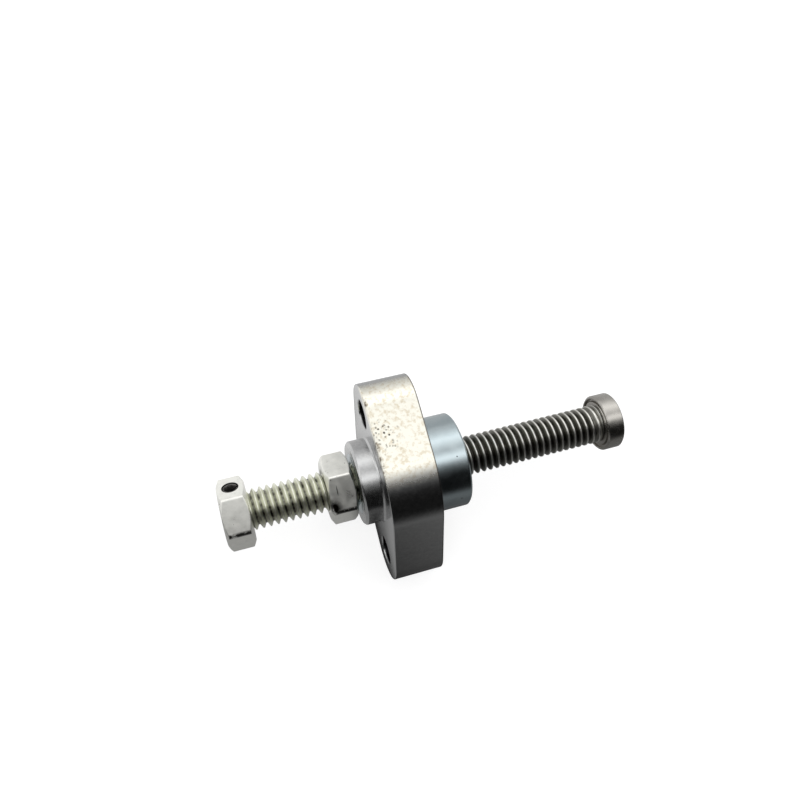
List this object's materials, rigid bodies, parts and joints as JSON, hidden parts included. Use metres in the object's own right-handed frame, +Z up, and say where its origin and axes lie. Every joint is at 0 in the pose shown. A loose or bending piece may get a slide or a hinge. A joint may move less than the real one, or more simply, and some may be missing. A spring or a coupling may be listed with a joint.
{
  "type": "manual cam chain tensioner",
  "caption": "Manual cam chain tensioner: an oblong bolted flange with a round spigot, a long threaded adjuster screw with a jam nut and a pinned turning nut, and a round foot.",
  "frame": {"origin": "on the screw's axis, in the flange's engine side face", "axes": "+X along the screw towards the engine, +Z up as the part lies on the longest flat of its flange"},
  "size_m": [0.082, 0.0388, 0.027],
  "materials": {
    "flange": "satin, milled and tumbled",
    "sleeve": "bluish zinc plate over turned steel",
    "screw": "zinc plate, worn and oily on the engine side",
    "nut": "dull zinc plate",
    "pin": "dark spring steel",
    "foot": "bare turned steel"
  },
  "bodies": {
    "housing": {"flange_body": "flange", "spigot_sleeve": "sleeve"},
    "pusher": {"foot": "foot"},
    "screw": {"adjuster_screw": "screw", "turning_nut": "nut", "roll_pin": "pin", "snap_ring": "pin"},
    "lock": {"jam_nut": "nut"}
  },
  "joints": [
    {"name": "foot_travel", "type": "slide", "parent": "housing", "child": "pusher", "axis": [1, 0, 0], "range_m": [-0.031, 0.013]},
    {"name": "screw_turn", "type": "hinge", "parent": "pusher", "child": "screw", "pos_m": [0, 0, 0], "axis": [1, 0, 0], "range_deg": [-7900, 3310]},
    {"name": "jam_nut_slide", "type": "slide", "parent": "housing", "child": "lock", "axis": [1, 0, 0], "range_m": [-0.00141, 0.0007]}
  ],
  "couplings": [
    {"joint": "foot_travel", "follows": "screw_turn", "m_per_rad": 0.00022457}
  ]
}
